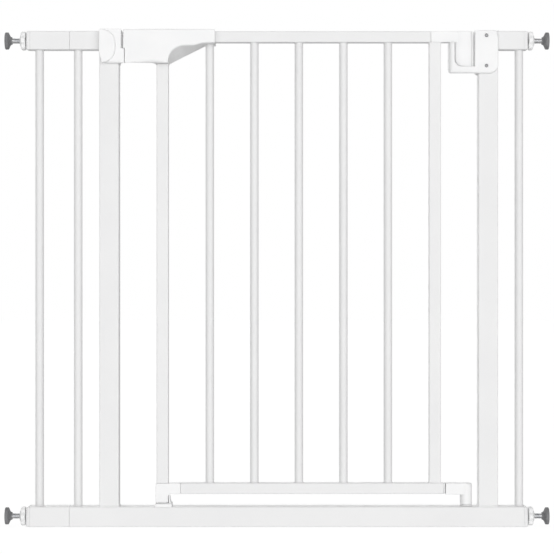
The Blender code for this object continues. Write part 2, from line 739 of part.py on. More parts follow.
def add_hand_nut(name, side, centre, plastic, at, nut_axis):
    """A scalloped hand nut on a neck, which turns against the end cap."""
    sections = [(along, lobed_outline(radius, scallop, centre)) for along, radius, scallop in NUT_PROFILE]
    bore = circle(SPINDLE_RADIUS + GAP, NUT_SIDES, centre)
    sections += [(NUT_PROFILE[-1][0], bore), (NUT_PROFILE[0][0], bore)]
    place = PLACE["X"]
    rings = [
        [place(u, v, side * (HALF_WIDTH + along)) for u, v in outline] for along, outline in sections
    ]
    add_piece(f"adjusting_nut_{name}", solid(rings, closed=True), plastic, at, nut_axis)


def add_spindle(name, side, level, materials):
    at = (side * HALF_WIDTH, 0.0, level)
    centre = (0.0, level)
    travel = make_empty(f"spindle_axis_{name}", at)
    nut_axis = make_empty(f"nut_axis_{name}", at)
    add_threaded_rod(name, side, centre, materials["zinc"], at, travel)
    add_wall_pad(name, side, centre, materials["rubber"], at, travel)
    add_hand_nut(name, side, centre, materials["plastic"], at, nut_axis)


def main():
    clear_scene()
    materials = make_materials()
    paint = materials["paint"]
    plastic = materials["plastic"]
    zinc = materials["zinc"]

    add_bottom_rails(paint)
    add_top_rails(paint)
    add_extension_plugs(zinc)
    add_posts(paint)
    add_frame_rods(paint)
    add_end_caps(plastic)
    add_latch_receiver(plastic)
    add_hinge_bracket(plastic, zinc)
    add_foot_catch(plastic, zinc)
    add_pivot_socket(plastic)

    swing = make_empty("swing_axis", (PIVOT_X, 0.0, 0.0))
    door = make_empty("lift_axis", (PIVOT_X, 0.0, 0.0), swing)
    slide = make_empty("latch_axis", (-0.2370, 0.0, LATCH_Z), door)
    add_hinge_pins(zinc, swing)
    add_door_tubes(paint, door)
    add_handle_shells(plastic, zinc, door)
    add_door_foot(plastic, door)
    add_hinge_knuckle(plastic, door)
    add_pivot_elbow(plastic, materials["rubber"], door)
    add_latch(plastic, zinc, slide)

    for level_name, level in SPINDLE_LEVELS.items():
        for side_name, side in SIDES.items():
            add_spindle(f"{level_name}_{side_name}", side, level, materials)


main()
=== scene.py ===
"""Looks for the walk-through safety gate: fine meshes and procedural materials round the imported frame.

Metres, +Z up, front towards -Y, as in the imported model. Outlines are given in the plane across their
extrusion: (y, z) for an extrusion along X, (x, z) along Y and (x, y) along Z.
"""

import math
import random

import bmesh
import bpy
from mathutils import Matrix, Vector


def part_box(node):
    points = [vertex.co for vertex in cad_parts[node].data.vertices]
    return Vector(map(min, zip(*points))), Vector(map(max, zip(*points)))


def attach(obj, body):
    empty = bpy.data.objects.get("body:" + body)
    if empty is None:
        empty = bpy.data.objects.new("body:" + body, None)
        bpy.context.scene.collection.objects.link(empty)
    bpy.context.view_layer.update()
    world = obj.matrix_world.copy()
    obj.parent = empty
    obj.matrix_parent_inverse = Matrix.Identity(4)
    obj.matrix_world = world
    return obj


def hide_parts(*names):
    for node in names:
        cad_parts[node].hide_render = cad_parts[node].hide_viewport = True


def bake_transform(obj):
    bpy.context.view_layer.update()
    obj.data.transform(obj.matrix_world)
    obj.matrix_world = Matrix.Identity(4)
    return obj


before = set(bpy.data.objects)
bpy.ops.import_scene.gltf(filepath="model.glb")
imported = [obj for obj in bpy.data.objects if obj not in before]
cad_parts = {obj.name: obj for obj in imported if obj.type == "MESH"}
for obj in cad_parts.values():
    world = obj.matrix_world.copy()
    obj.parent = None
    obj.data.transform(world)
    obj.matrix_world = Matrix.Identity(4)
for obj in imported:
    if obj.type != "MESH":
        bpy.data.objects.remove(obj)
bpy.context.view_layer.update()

GAP = 0.0003  # between touching pieces, as in the frame
FRAME_WALL = 0.0015
DOOR_WALL = 0.0012
ROD_WALL = 0.0010
TUBE_CORNER = 0.0018
RECEIVER_RIGHT = -0.2414
JAW_TOP = 0.7415  # the top of the receiver's jaw, and the step in the handle's end above it
FRAME_HALF = 0.0133  # half the depth left in a moulding for a frame post, with its gap
SPIGOT_HALF = 0.0072  # half the depth of the spigots inside the door's tubes
PIN_BORE = 0.0043
THREAD_PITCH = 0.0020
THREAD_DEPTH = 0.0007
NUT_LOBES = 6
CORNERS = [
    (f"{level}_{name}", level, side)
    for level in ("bottom", "top")
    for name, side in (("left", -1), ("right", 1))
]

PLACE = {
    "X": lambda u, v, along: (along, u, v),
    "Y": lambda u, v, along: (u, along, v),
    "Z": lambda u, v, along: (u, v, along),
}


# Outlines

def circle(radius, sides, centre=(0.0, 0.0)):
    turns = [2 * math.pi * k / sides for k in range(sides)]
    return [(centre[0] + radius * math.cos(t), centre[1] + radius * math.sin(t)) for t in turns]


def rounded(corners, steps=6):
    """An outline through (u, v, radius) corners, each rounded by an arc of that radius."""
    outline = []
    for k, (u, v, radius) in enumerate(corners):
        if radius == 0:
            outline.append((u, v))
            continue
        corner = Vector((u, v))
        before = (Vector(corners[k - 1][:2]) - corner).normalized()
        after = (Vector(corners[(k + 1) % len(corners)][:2]) - corner).normalized()
        half = before.angle(after) / 2
        centre = corner + (before + after).normalized() * radius / math.sin(half)
        start = corner + before * radius / math.tan(half) - centre
        end = corner + after * radius / math.tan(half) - centre
        first = math.atan2(start.y, start.x)
        turn = (math.atan2(end.y, end.x) - first + math.pi) % (2 * math.pi) - math.pi
        for step in range(steps + 1):
            angle = first + turn * step / steps
            outline.append((centre.x + radius * math.cos(angle), centre.y + radius * math.sin(angle)))
    return outline


def rectangle(low, high, radius, steps=6):
    """A rounded rectangle between two corners, or a sharp one at radius 0."""
    (left, bottom), (right, top) = low, high
    corners = [(left, bottom), (right, bottom), (right, top), (left, top)]
    return rounded([(u, v, radius) for u, v in corners], steps)


def crossing(start, ahead, other, other_ahead):
    """Where two lines in the plane cross, or halfway between their starts if they run alike."""
    spread = ahead.cross(other_ahead)
    if abs(spread) < 1e-4 * ahead.length * other_ahead.length:
        return (start + other) / 2
    return start + ahead * ((other - start).cross(other_ahead) / spread)


def inset(outline, distances):
    """An anticlockwise outline with each point moved inward by its own distance.

    An arc tighter than the distance closes up to the corner where its neighbours cross.
    """
    count = len(outline)
    points = [Vector(point) for point in outline]
    sides = [points[(k + 1) % count] - points[k] for k in range(count)]
    moved = []
    for k in range(count):
        into = sides[k - 1].normalized()
        onward = sides[k].normalized()
        inward = Vector((-into.y - onward.y, into.x + onward.x)).normalized()
        stretch = 1 / max(0.5, inward.dot(Vector((-into.y, into.x))))
        moved.append(points[k] + inward * distances[k] * stretch)
    for _ in range(3):
        turned_back = [(moved[(k + 1) % count] - moved[k]).dot(sides[k]) < 1e-13 for k in range(count)]
        for first in range(count):
            if not turned_back[first] or turned_back[first - 1]:
                continue
            last = first
            while turned_back[(last + 1) % count]:
                last += 1
            start, end = moved[first], moved[(last + 1) % count]
            corner = crossing(start, sides[first - 1], end, sides[(last + 1) % count])
            for k in range(first, last + 2):
                moved[k % count] = corner
    return [tuple(point) for point in moved]


def smooth_step(low, high, value):
    share = min(1.0, max(0.0, (value - low) / (high - low)))
    return share * share * (3 - 2 * share)


# Meshes

def loft(rings, closed=False):
    """A mesh through equal rings of points, capped, or with its last ring joined to its first if closed."""
    mesh = bmesh.new()
    loops = [[mesh.verts.new(point) for point in ring] for ring in rings]
    pairs = list(zip(loops, loops[1:]))
    if closed:
        pairs.append((loops[-1], loops[0]))
    else:
        mesh.faces.new(loops[0])
        mesh.faces.new(loops[-1])
    for near, far in pairs:
        for k in range(len(near)):
            after = (k + 1) % len(near)
            mesh.faces.new((near[k], near[after], far[after], far[k]))
    bmesh.ops.remove_doubles(mesh, verts=mesh.verts, dist=0.000001)
    mesh.normal_update()
    bmesh.ops.recalc_face_normals(mesh, faces=mesh.faces)
    mesh.normal_update()
    if mesh.calc_volume(signed=True) < 0:
        bmesh.ops.reverse_faces(mesh, faces=mesh.faces)
    return mesh


def slab(shape, start, end, axis, near=0.0, far=0.0, steps=5):
    """A solid between two planes with rounded edges.

    shape is an outline, or a function from the share of the way to the outline there. near and far are
    the radii of the edges at the two ends, each a number or a function of the place in the outline.
    """
    outline_at = shape if callable(shape) else lambda share: shape
    place = PLACE[axis]
    span = end - start
    rings = []
    for face, from_face, radius in ((start, 1, near), (end, -1, far)):
        outline = outline_at(0.0 if from_face == 1 else 1.0)
        radii = [radius(u, v) if callable(radius) else radius for u, v in outline]
        middle = sum(radii) / len(radii)
        count = steps if middle > 0 else 0
        batch = []
        for step in range(count + 1):
            angle = math.pi / 2 * step / steps if count else math.pi / 2
            share = middle * (1 - math.sin(angle)) / abs(span)
            here = outline_at(share if from_face == 1 else 1 - share)
            moved = inset(here, [r * (1 - math.cos(angle)) for r in radii]) if count else here
            depths = [r * (1 - math.sin(angle)) * from_face * math.copysign(1, span) for r in radii]
            batch.append([place(u, v, face + depth) for (u, v), depth in zip(moved, depths)])
        rings += batch[::-1] if from_face == 1 else batch
    return loft(rings)


def box(low, high):
    return slab(rectangle(low[:2], high[:2], 0.0), low[2], high[2], "Z")


def cylinder(radius, start, end, axis, centre=(0.0, 0.0), sides=32):
    return slab(circle(radius, sides, centre), start, end, axis)


def turned(profile, axis, centre=(0.0, 0.0), sides=48):
    """A profile of (along, radius) points turned about an axis, with a cap at each end."""
    place = PLACE[axis]
    return loft([[place(u, v, along) for u, v in circle(r, sides, centre)] for along, r in profile])


def bar_tube(outer, wall, start, end, axis):
    """A hollow bar with softly broken edges at its open ends."""
    edge = 0.0003
    place = PLACE[axis]
    inner = inset(outer, [wall] * len(outer))
    lip = inset(outer, [edge] * len(outer))
    outside = [(lip, start), (outer, start + edge), (outer, end - edge), (lip, end)]
    walls = outside + [(inner, end), (inner, start)]
    return loft([[place(u, v, along) for u, v in outline] for outline, along in walls], closed=True)


def swept(path, radii, closed, sides=8):
    """A round section swept along a path of points, with a radius for each."""
    rings = []
    count = len(path)
    for k, point in enumerate(path):
        before = path[k - 1] if closed or k else path[0]
        after = path[(k + 1) % count] if closed or k < count - 1 else path[-1]
        ahead = (after - before).normalized()
        up = Vector((0, 0, 1)) if abs(ahead.z) < 0.9 else Vector((1, 0, 0))
        across = ahead.cross(up).normalized()
        upward = across.cross(ahead)
        turns = [2 * math.pi * side / sides for side in range(sides)]
        rings.append([point + radii[k] * (across * math.cos(t) + upward * math.sin(t)) for t in turns])
    return loft(rings, closed)


def merge(*meshes):
    """Separate closed shells in one mesh."""
    whole = bmesh.new()
    for mesh in meshes:
        data = bpy.data.meshes.new("shell")
        mesh.to_mesh(data)
        mesh.free()
        whole.from_mesh(data)
        bpy.data.meshes.remove(data)
    return whole


def boolean(body, tool, operation):
    """The Boolean of two meshes. Both are used up."""
    workers = []
    for part in (body, tool):
        data = bpy.data.meshes.new("worker")
        part.to_mesh(data)
        part.free()
        worker = bpy.data.objects.new("worker", data)
        bpy.context.scene.collection.objects.link(worker)
        workers.append(worker)
    modifier = workers[0].modifiers.new("boolean", "BOOLEAN")
    modifier.operation = operation
    modifier.solver = "EXACT"
    modifier.object = workers[1]
    evaluated = workers[0].evaluated_get(bpy.context.evaluated_depsgraph_get())
    result = bmesh.new()
    result.from_mesh(evaluated.to_mesh())
    for worker in workers:
        data = worker.data
        bpy.data.objects.remove(worker)
        bpy.data.meshes.remove(data)
    return result


def spigot(low, high, axis):
    """A bar with broken edges that plugs into a tube, between two corners of its box."""
    k = "XYZ".index(axis)
    corners = [[corner[i] for i in range(3) if i != k] for corner in (low, high)]
    return slab(rectangle(*corners, 0.0012, 3), low[k], high[k], axis, 0.0006, 0.0006, 3)


def cut(body, *tools):
    for tool in tools:
        body = boolean(body, tool, "DIFFERENCE")
    return body


def join(body, *others):
    for other in others:
        body = boolean(body, other, "UNION")
    return body


# Materials

class Surface:
    """A Principled material with short calls for its procedural detail, in the piece's own coordinates."""

    def __init__(self, name, roughness, metallic=0.0):
        self.material = bpy.data.materials.new(name)
        self.material.use_nodes = True
        self.tree = self.material.node_tree
        self.shader = self.tree.nodes["Principled BSDF"]
        self.shader.inputs["Roughness"].default_value = roughness
        self.shader.inputs["Metallic"].default_value = metallic
        self.shader.inputs["Specular IOR Level"].default_value = 0.3
        self.coordinates = self.tree.nodes.new("ShaderNodeTexCoord").outputs["Object"]
        self.normal = None

    def noise(self, scale, detail=2.0, stretch=(1, 1, 1)):
        mapping = self.tree.nodes.new("ShaderNodeMapping")
        mapping.inputs["Scale"].default_value = stretch
        self.tree.links.new(self.coordinates, mapping.inputs["Vector"])
        texture = self.tree.nodes.new("ShaderNodeTexNoise")
        texture.inputs["Scale"].default_value = scale
        texture.inputs["Detail"].default_value = detail
        self.tree.links.new(mapping.outputs["Vector"], texture.inputs["Vector"])
        return texture.outputs["Fac"]

    def ramp(self, value, low, high, start=0.35, end=0.65):
        """Maps a noise value between two colours or, given numbers, between two greys."""
        ramp = self.tree.nodes.new("ShaderNodeValToRGB")
        for element, place, colour in zip(ramp.color_ramp.elements, (start, end), (low, high)):
            element.position = place
            element.color = (*colour, 1.0) if isinstance(colour, tuple) else (colour, colour, colour, 1.0)
        self.tree.links.new(value, ramp.inputs["Fac"])
        return ramp.outputs["Color"]

    def drive(self, socket, value):
        self.tree.links.new(value, self.shader.inputs[socket])

    def bump(self, height, distance, strength=1.0):
        node = self.tree.nodes.new("ShaderNodeBump")
        node.inputs["Distance"].default_value = distance
        node.inputs["Strength"].default_value = strength
        self.tree.links.new(height, node.inputs["Height"])
        if self.normal:
            self.tree.links.new(self.normal, node.inputs["Normal"])
        self.normal = node.outputs["Normal"]
        self.tree.links.new(self.normal, self.shader.inputs["Normal"])


def powder_coat(name, peel):
    """White powder coat: faint cloudiness in tone and gloss, orange peel and a fine grain."""
    surface = Surface(name, 0.42)
    shade, light = (0.795, 0.795, 0.797), (0.815, 0.815, 0.815)
    surface.drive("Base Color", surface.ramp(surface.noise(9, 3), shade, light))
    surface.drive("Roughness", surface.ramp(surface.noise(60, 4), 0.37, 0.47))
    surface.bump(surface.noise(380, 2), peel)
    surface.bump(surface.noise(2200, 1), peel * 0.12)
    return surface.material


def moulded_plastic(name, tone):
    """White moulded plastic with a spark-eroded grain and faint flow marks."""
    surface = Surface(name, 0.42)
    light = (tone, tone, tone)
    shade = (tone * 0.975, tone * 0.977, tone * 0.98)
    surface.drive("Base Color", surface.ramp(surface.noise(14, 3, (1, 1, 2.5)), shade, light))
    surface.drive("Roughness", surface.ramp(surface.noise(45, 3, (1, 1, 3)), 0.37, 0.47))
    surface.bump(surface.noise(1500, 3), 0.000012)
    surface.bump(surface.noise(120, 1), 0.00001)
    return surface.material


def zinc_plate(name, stretch, tone=1.0):
    """Zinc plate, mottled in tone and gloss, with fine drawing marks along the stretch."""
    surface = Surface(name, 0.32, 1.0)
    dull = (0.50 * tone, 0.51 * tone, 0.53 * tone)
    bright = (0.66 * tone, 0.66 * tone, 0.66 * tone)
    surface.drive("Base Color", surface.ramp(surface.noise(160, 4), dull, bright))
    surface.drive("Roughness", surface.ramp(surface.noise(420, 3, stretch), 0.24, 0.44))
    surface.bump(surface.noise(1400, 2, stretch), 0.000015)
    return surface.material


def moulded_rubber(name):
    """Dark grey rubber with a dusty bloom and a matt grain."""
    surface = Surface(name, 0.72)
    clean, dusty = (0.165, 0.165, 0.17), (0.215, 0.215, 0.22)
    surface.drive("Base Color", surface.ramp(surface.noise(110, 4), clean, dusty))
    surface.drive("Roughness", surface.ramp(surface.noise(260, 3), 0.64, 0.80))
    surface.bump(surface.noise(1700, 2), 0.00002)
    surface.shader.inputs["Sheen Weight"].default_value = 0.15
    return surface.material


FINISHES = {
    "paint": ("white_paint", powder_coat("powder_coat", 0.00004)),
    "weld": ("white_paint", powder_coat("powder_coat_on_welds", 0.00009)),
    "plastic": ("white_plastic", moulded_plastic("moulded_plastic", 0.885)),
    "cap": ("white_plastic", moulded_plastic("cap_plastic", 0.80)),
    "zinc": ("zinc_steel", zinc_plate("zinc_plate", (1, 1, 1))),
    # Zinc plate at 0.42 of its usual tone, used for the two screws in the hinge bracket.
    "darkened_zinc": ("zinc_steel", zinc_plate("darkened_zinc", (1, 1, 1), 0.42)),
    "drawn": ("zinc_steel", zinc_plate("drawn_zinc", (0.04, 1, 1))),
    "rubber": ("grey_rubber", moulded_rubber("moulded_rubber")),
}


# Pieces

def add_piece(name, mesh, finish, body, *nodes):
    """A piece that rides on a body and stands for the CAD nodes given."""
    slot, material = FINISHES[finish]
    data = bpy.data.meshes.new(name)
    mesh.to_mesh(data)
    mesh.free()
    data.shade_smooth()
    data.set_sharp_from_angle(angle=math.radians(32))
    data.materials.append(material)
    piece = bpy.data.objects.new(name, data)
    bpy.context.scene.collection.objects.link(piece)
    weighted = piece.modifiers.new("weighted_normals", "WEIGHTED_NORMAL")
    weighted.keep_sharp = True
    if body:
        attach(piece, body)
    if nodes:
        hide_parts(*nodes)
    return piece


def span(node, axis):
    """The start and end of a CAD node along X, Y or Z."""
    low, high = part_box(node)
    k = "XYZ".index(axis)
    return low[k], high[k]


def middle(node, axis):
    return sum(span(node, axis)) / 2


def half_width(node, axis):
    start, end = span(node, axis)
    return (end - start) / 2


def across_box(node, axis):
    """The two corners of a CAD node's box in the plane across an axis."""
    low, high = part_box(node)
    keep = [k for k in range(3) if k != "XYZ".index(axis)]
    return [low[k] for k in keep], [high[k] for k in keep]


def square_tube(node, axis, wall):
    outer = rectangle(*across_box(node, axis), TUBE_CORNER)
    return bar_tube(outer, wall, *span(node, axis), axis)


def strike_window():
    """The hole that takes the latch bolt, through the receiver's side and the wall of the post."""
    low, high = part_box("latch_bolt")
    return box(
        (span("left_post", "X")[1] - 0.0030, low[1] - 0.0012, low[2] - 0.0020),
        (RECEIVER_RIGHT + 0.0040, high[1] + 0.0012, high[2] + 0.0025),
    )


def add_rails_and_posts():
    pivot = (middle("pivot_socket", "X"), 0.0)
    catch = (middle("catch_screw", "X"), 0.0)
    rail_top = span("bottom_rail", "Z")[1]
    rails = ("bottom_rail", "extension_bottom_rail", "extension_top_rail", "left_top_rail", "right_top_rail")
    for node in rails:
        tube = square_tube(node, "X", FRAME_WALL)
        if node == "bottom_rail":
            reach = (rail_top - 0.0040, rail_top + 0.0050)
            tube = cut(tube, cylinder(0.0063, *reach, "Z", pivot), cylinder(0.0018, *reach, "Z", catch))
        add_piece(f"{node}_tube", tube, "paint", "frame", node)
    left_post = cut(square_tube("left_post", "Z", FRAME_WALL), strike_window())
    add_piece("left_post_tube", left_post, "paint", "frame", "left_post")
    add_piece("right_post_tube", square_tube("right_post", "Z", FRAME_WALL), "paint", "frame", "right_post")


def add_door_tubes():
    for node in ("door_top_rail", "door_bottom_rail"):
        add_piece(f"{node}_tube", square_tube(node, "X", DOOR_WALL), "paint", "door", node)
    for node in ("door_left_stile", "door_right_stile"):
        add_piece(f"{node}_tube", square_tube(node, "Z", DOOR_WALL), "paint", "door", node)


def rods():
    """Each round bar of the gate and the body it rides on."""
    bars = {name: "frame" for name in ("extension_rod", "left_frame_rod", "right_frame_rod")}
    bars.update({f"door_rod_{k}": "door" for k in range(1, 6)})
    return bars


def add_rods():
    for node, body in rods().items():
        outer = circle(half_width(node, "X"), 48, (middle(node, "X"), 0.0))
        add_piece(f"{node}_tube", bar_tube(outer, ROD_WALL, *span(node, "Z"), "Z"), "paint", body, node)


# Welds

def weld_bead(outline, along, axis, radius, seed):
    """A painted fillet of weld round an outline, with small ripples."""
    draw = random.Random(seed)
    place = PLACE[axis]
    path = [Vector(place(u, v, along)) for u, v in outline]
    radii = [radius * (1 + 0.14 * math.sin(2.1 * k) + draw.uniform(-0.08, 0.08)) for k in range(len(path))]
    return swept(path, radii, closed=True)


def dense_rectangle(node, axis, grow, pieces=9):
    """The outline of a square tube with points spread along its sides too."""
    outline = rectangle(*across_box(node, axis), TUBE_CORNER, 3)
    outline = inset(outline, [-grow] * len(outline))
    dense = []
    for k, point in enumerate(outline):
        after = outline[(k + 1) % len(outline)]
        length = math.dist(point, after)
        count = pieces if length > 0.004 else 1
        for step in range(count):
            share = step / count
            dense.append(tuple(a + share * (b - a) for a, b in zip(point, after)))
    return dense


def add_welds():
    beads = {"frame": [], "door": []}
    for seed, (node, body) in enumerate(rods().items()):
        ring = circle(half_width(node, "X"), 36, (middle(node, "X"), 0.0))
        for end in span(node, "Z"):
            beads[body].append(weld_bead(ring, end, "Z", 0.0008, seed))
    for node in ("left_post", "right_post"):
        foot = dense_rectangle(node, "Z", 0.0001)
        beads["frame"].append(weld_bead(foot, span(node, "Z")[0], "Z", 0.0011, 20))
    for node, end in (("left_top_rail", 1), ("right_top_rail", 0)):
        stub = dense_rectangle(node, "X", 0.0001)
        beads["frame"].append(weld_bead(stub, span(node, "X")[end], "X", 0.0009, 30 + end))
    stile = dense_rectangle("door_right_stile", "Z", 0.0001, 5)
    for end in span("door_right_stile", "Z"):
        beads["door"].append(weld_bead(stile, end, "Z", 0.0008, 40))
    for body, parts in beads.items():
        add_piece(f"{body}_welds", merge(*parts), "weld", body)


# Plastic mouldings of the fixed frame

def add_end_caps():
    """Caps with a flat face, rounded outer edges and, on the bottom rail, a rounder upper corner."""
    thickness = 0.0063
    for which, level, side in CORNERS:
        node = f"end_cap_{which}"
        spindle = f"spindle_{which}"
        low, high = across_box(node, "X")
        plug_end, outer_face = sorted(span(node, "X"), key=abs)
        outer_face -= side * 0.0005
        top = high[1]
        top_edge = 0.0052 if level == "bottom" else 0.0034

        def edge(y, z, top=top, top_edge=top_edge):
            upper = smooth_step(top - 0.0045, top - 0.0002, z)
            return 0.0030 + (top_edge - 0.0030) * upper

        face = rectangle(low, high, TUBE_CORNER)
        cap = slab(face, outer_face - side * thickness, outer_face, "X", 0.0001, edge, 7)
        fit = FRAME_WALL + GAP
        ends = sorted((outer_face - side * (thickness - 0.0005), plug_end))
        plug = spigot((ends[0], low[0] + fit, low[1] + fit), (ends[1], high[0] - fit, high[1] - fit), "X")
        cap = join(cap, plug)
        bore = (outer_face - side * 0.0300, outer_face + side * 0.0050)
        centre = (0.0, middle(spindle, "Z"))
        cap = cut(cap, cylinder(0.0047, *bore, "X", centre))
        add_piece(f"{node}_moulding", cap, "cap", "frame", node)


def add_latch_receiver():
    left, post_right = span("left_post", "X")
    right = RECEIVER_RIGHT
    jaw = span("latch_receiver", "X")[1] + 0.0004
    bottom, top = span("latch_receiver", "Z")

    def body(share):
        """The outline at a share of the depth: the jaw's bottom rises towards the back."""
        raised = bottom + 0.0046 * share
        return rounded([
            (left, bottom, 0.0160),
            (post_right + 0.0004, bottom, 0.0),
            (post_right + 0.0014, raised, 0.0),
            (jaw, raised, 0.0008),
            (jaw, JAW_TOP, 0.0006),
            (right, JAW_TOP, 0.0),
            (right, top, 0.0012),
            (left, top, 0.0030),
        ], 10)

    def body_edge(x, z):
        low = 1 - smooth_step(bottom + 0.001, bottom + 0.012, z)
        return 0.0007 + 0.0036 * low * smooth_step(jaw - 0.0005, jaw - 0.0040, x)

    whole = slab(body, -0.0200, 0.0200, "Y", body_edge, body_edge)
    boss = [(left + 0.0004, top - 0.0010), (left + 0.0004, bottom + 0.0170)]
    for k in range(1, 32):
        turn = math.radians(-90 + 180 * k / 32)
        across = 0.0258 * abs(math.cos(turn)) ** 0.75
        along = 0.0262 * math.copysign(abs(math.sin(turn)) ** 0.8, math.sin(turn))
        boss.append((left + across, 0.7452 + along))

    def boss_edge(x, z):
        return 0.0007 + 0.0026 * smooth_step(left + 0.001, left + 0.014, x)

    whole = join(whole, slab(boss, -0.0235, 0.0235, "Y", boss_edge, boss_edge, 7))
    post_top = span("left_post", "Z")[1]
    whole = join(whole, box((right - 0.0010, -0.0125, JAW_TOP - 0.0005), (right + 0.0020, 0.0125, 0.7650)))
    clearance = box((left - 0.0050, -FRAME_HALF, 0.7000), (post_right + GAP, FRAME_HALF, post_top + GAP))
    receiver = cut(whole, clearance, strike_window())
    add_piece("latch_receiver_moulding", receiver, "plastic", "frame", "latch_receiver")


def cross_recess(radius, depth, axis, face, inward, centre):
    """Two crossed slots to cut in a screw's head."""
    half_width = radius * 0.17
    reach = radius * 0.62
    tools = []
    for wide, tall in ((reach, half_width), (half_width, reach)):
        low = (centre[0] - wide, centre[1] - tall)
        high = (centre[0] + wide, centre[1] + tall)
        tools.append(slab(rectangle(low, high, 0.0), face - inward * 0.001, face + inward * depth, axis))
    return tools


def screw(radius, head, shank_radius, length, axis, face, inward, centre):
    """A pan-head screw whose head starts at a face and whose shank runs inward."""
    profile = [
        (face, radius * 0.55),
        (face + inward * head * 0.10, radius * 0.80),
        (face + inward * head * 0.38, radius * 0.97),
        (face + inward * head * 0.70, radius),
        (face + inward * head, radius),
        (face + inward * head, shank_radius),
        (face + inward * length, shank_radius),
    ]
    body = turned(profile, axis, centre, 32)
    return cut(body, *cross_recess(radius, head * 0.75, axis, face, inward, centre))


def add_screws():
    for which in ("upper", "lower"):
        node = f"bracket_screw_{which}"
        centre = (middle(node, "X"), middle(node, "Z"))
        front, back = span(node, "Y")
        body = screw(0.0027, 0.0010, 0.0014, back - front, "Y", front + 0.0001, 1, centre)
        # The bracket's screws get the darker zinc plate.
        add_piece(f"{node}_head", body, "darkened_zinc", "frame", node)
    for k in (1, 2):
        node = f"handle_screw_{k}"
        centre = (middle(node, "X"), middle(node, "Z"))
        front, back = span(node, "Y")
        body = screw(0.0027, 0.0016, 0.0013, back - front, "Y", back, -1, centre)
        add_piece(f"{node}_head", body, "zinc", "door", node)
    bottom, top = span("catch_screw", "Z")
    centre = (middle("catch_screw", "X"), 0.0)
    body = screw(0.0032, 0.0007, 0.0015, top - bottom, "Z", top, -1, centre)
    add_piece("catch_screw_head", body, "zinc", "frame", "catch_screw")


def add_hinge_bracket():
    left, right = span("hinge_bracket", "X")
    bottom, top = span("hinge_bracket", "Z")
    shelf = 0.7138
    web = 0.3065
    wall = 0.2751
    wall_top = 0.7520
    post_left = span("right_post", "X")[0]

    def outline(share):
        """The outline at a share of the depth: the shelf's bottom rises towards the back."""
        lift = 0.0046 * share
        return rounded([
            (left, bottom + lift, 0.0018),
            (post_left - 0.0040, bottom + lift, 0.0),
            (post_left - 0.0020, bottom, 0.0),
            (right, bottom, 0.0140),
            (right, top - 0.0130, 0.0200),
            (right - 0.0030, top, 0.0030),
            (web, top, 0.0008),
            (web, shelf, 0.0010),
            (wall, shelf, 0.0110),
            (wall, wall_top, 0.0010),
            (left, wall_top, 0.0020),
        ], 8)

    def edge(x, z):
        side = 0.0052 * (1 - smooth_step(left, wall - 0.001, x)) + 0.0012 * smooth_step(0.33, right, x)
        return 0.0010 + max(side, 0.0030 * (1 - smooth_step(bottom, bottom + 0.0080, z)))

    bracket = slab(outline, -0.0175, 0.0175, "Y", edge, edge, 7)
    post_top = span("right_post", "Z")[1]
    pivot = (middle("upper_hinge_pin", "X"), 0.0)
    tools = [
        box((post_left - GAP, -FRAME_HALF, 0.6900), (right + 0.0200, FRAME_HALF, post_top + GAP)),
        cylinder(PIN_BORE, 0.7050, 0.7250, "Z", pivot),
    ]
    for which in ("upper", "lower"):
        node = f"bracket_screw_{which}"
        centre = (middle(node, "X"), middle(node, "Z"))
        tools.append(slab(circle(0.0031, 32, centre), -0.0200, -0.0161, "Y"))
        tools.append(cylinder(0.0017, -0.0170, -0.0120, "Y", centre))
    add_piece("hinge_bracket_moulding", cut(bracket, *tools), "plastic", "frame", "hinge_bracket")


def add_foot_catch():
    """The saddle on the bottom rail and the flared stop beside the door's foot."""
    (front, skirt), (back, _) = across_box("foot_catch", "X")
    rail_top = span("bottom_rail", "Z")[1]
    rail_half = span("bottom_rail", "Y")[1]
    top = 0.0364
    saddle = rounded([
        (front, skirt, 0.0003),
        (-rail_half - GAP, skirt, 0.0003),
        (-rail_half - GAP, rail_top + GAP, 0.0),
        (rail_half + GAP, rail_top + GAP, 0.0),
        (rail_half + GAP, skirt, 0.0003),
        (back, skirt, 0.0003),
        (back, top, 0.0015),
        (front, top, 0.0015),
    ])
    left, right = span("foot_catch", "X")
    right += 0.0012
    stop_top = span("foot_catch", "Z")[1]
    stop_left = 0.0010 + span("door_foot", "X")[0] + 0.0195
    flare = [(stop_left, top - 0.0010), (right - 0.0004, top - 0.0010)]
    for k in range(9):
        share = k / 8
        height = top + (stop_top - top - 0.0006) * share ** 1.4
        flare.append((right - 0.0004 - 0.0026 * math.sin(math.pi / 2 * share), height))
    flare.append((stop_left + 0.0006, stop_top))
    catch = join(
        slab(saddle, left, right, "X", 0.0004, 0.0004, 3),
        slab(flare, -0.0100, 0.0100, "Y", 0.0004, 0.0004, 3),
    )
    centre = (middle("catch_screw", "X"), 0.0)
    hole = (rail_top - 0.0050, top + 0.0050)
    catch = cut(
        catch,
        cylinder(0.0018, *hole, "Z", centre),
        cylinder(0.0036, rail_top + 0.0012, top + 0.0050, "Z", centre),
    )
    add_piece("foot_catch_moulding", catch, "plastic", "frame", "foot_catch")


def add_pivot_socket():
    bottom, top = span("pivot_socket", "Z")
    centre = (middle("pivot_socket", "X"), 0.0)
    flange = (span("pivot_socket", "X")[1] - span("pivot_socket", "X")[0]) / 2
    seat = top - 0.0018
    profile = [(bottom, 0.0060), (seat, 0.0060), (seat, flange - 0.0003), (seat + 0.0003, flange)]
    profile += [
        (top - 0.0008 + 0.0008 * math.sin(a), flange - 0.0008 + 0.0008 * math.cos(a)) for a in quarter(4)
    ]
    profile += [(top, 0.0047), (top - 0.0004, 0.0043), (bottom + 0.0020, 0.0043)]
    add_piece("pivot_socket_bush", turned(profile, "Z", centre), "plastic", "frame", "pivot_socket")


def quarter(steps):
    """Angles from 0 to 90 degrees, in radians."""
    return [math.pi / 2 * k / steps for k in range(steps + 1)]


# Door mouldings

